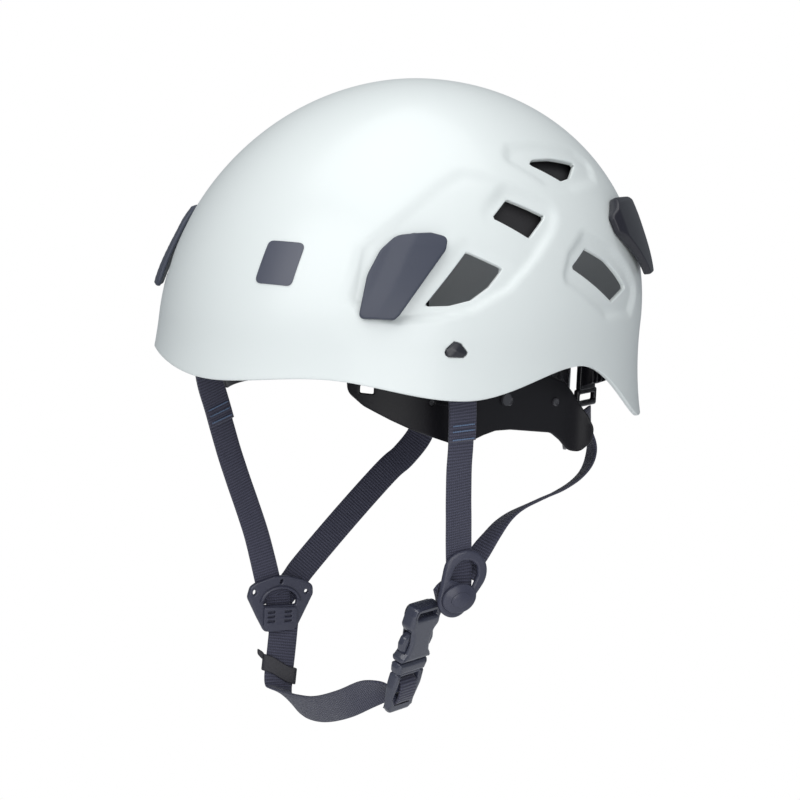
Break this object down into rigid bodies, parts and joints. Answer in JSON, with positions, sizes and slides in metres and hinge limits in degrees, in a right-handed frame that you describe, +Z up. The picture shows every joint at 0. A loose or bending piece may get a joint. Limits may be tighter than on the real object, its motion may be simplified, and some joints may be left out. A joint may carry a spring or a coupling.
{
  "type": "climbing helmet",
  "caption": "Hard-shell climbing helmet with vents, headlamp clips, a folding nape cradle with a dial adjuster, and a chin strap with a side-release buckle.",
  "frame": {"origin": "centre of the head opening at brow level, where the wearer's head sits", "axes": "+Z up through the crown, -Y towards the brow, +X towards the wearer's left side"},
  "size_m": [0.2268, 0.2858, 0.3506],
  "materials": {
    "shell_white": "glossy moulded ABS, pale mint white",
    "liner_black": "black expanded foam",
    "pad_black": "black brushed fabric over foam",
    "band_black": "black nylon, semi-gloss",
    "stud_grey": "grey acetal",
    "clip_slate": "slate blue-grey nylon",
    "badge_grey": "plain dark printed mark",
    "webbing": "ribbed indigo-grey polyester webbing",
    "buckle_dark": "dark slate acetal",
    "dial_black": "black nylon"
  },
  "bodies": {
    "helmet": {"shell": "shell_white", "crown_liner": "liner_black", "crown_pad": "pad_black", "brow_band": "band_black", "brow_pad": "pad_black", "side_panel_left": "band_black", "side_panel_right": "band_black", "panel_studs": "stud_grey", "band_posts": "band_black", "temple_pins": "stud_grey", "side_plug_left": "clip_slate", "side_plug_right": "clip_slate", "headlamp_clip_front_left": "clip_slate", "headlamp_clip_front_right": "clip_slate", "headlamp_clip_rear_left": "clip_slate", "headlamp_clip_rear_right": "clip_slate", "front_badge": "badge_grey", "strap_hanger_left": "band_black", "strap_hanger_right": "band_black", "strap_front_left": "webbing", "strap_front_right": "webbing", "strap_rear_left": "webbing", "strap_rear_right": "webbing", "yoke_left": "clip_slate", "yoke_right": "clip_slate", "yoke_cap_left": "clip_slate", "yoke_cap_right": "clip_slate", "strap_buckle_left": "webbing", "buckle_socket": "buckle_dark"},
    "nape_cradle": {"cradle_housing": "band_black", "cradle_cover": "band_black", "cradle_pad": "pad_black"},
    "dial": {"dial": "dial_black"},
    "left_arm": {"arm_left": "band_black"},
    "right_arm": {"arm_right": "band_black"},
    "chin_piece": {"chin_strap": "webbing", "buckle_plug": "buckle_dark", "buckle_prongs": "buckle_dark"},
    "keeper": {"strap_keeper": "buckle_dark"}
  },
  "joints": [
    {"name": "cradle_fold", "type": "hinge", "parent": "helmet", "child": "nape_cradle", "pos_m": [0, 0, -0.033], "axis": [1, 0, 0], "range_deg": [0, 40]},
    {"name": "dial_turn", "type": "hinge", "parent": "nape_cradle", "child": "dial", "pos_m": [0, 0.1, -0.05], "axis": [0, 1, 0], "range_deg": [-57.4, 0]},
    {"name": "band_left_slide", "type": "slide", "parent": "nape_cradle", "child": "left_arm", "axis": [1, 0, 0], "range_m": [-0.006, 0]},
    {"name": "band_right_slide", "type": "slide", "parent": "nape_cradle", "child": "right_arm", "axis": [-1, 0, 0], "range_m": [-0.006, 0]},
    {"name": "buckle_release", "type": "slide", "parent": "helmet", "child": "chin_piece", "axis": [-0.2706, 0, -0.9627], "range_m": [0, 0.022], "deforming": ["buckle_prongs"]},
    {"name": "keeper_slide", "type": "slide", "parent": "chin_piece", "child": "keeper", "axis": [-0.1379, 0.2222, 0.9652], "range_m": [0, 0.011]}
  ],
  "couplings": [
    {"joint": "dial_turn", "follows": "band_left_slide", "rad_per_m": 166.67},
    {"joint": "band_right_slide", "follows": "band_left_slide", "ratio": 1}
  ]
}
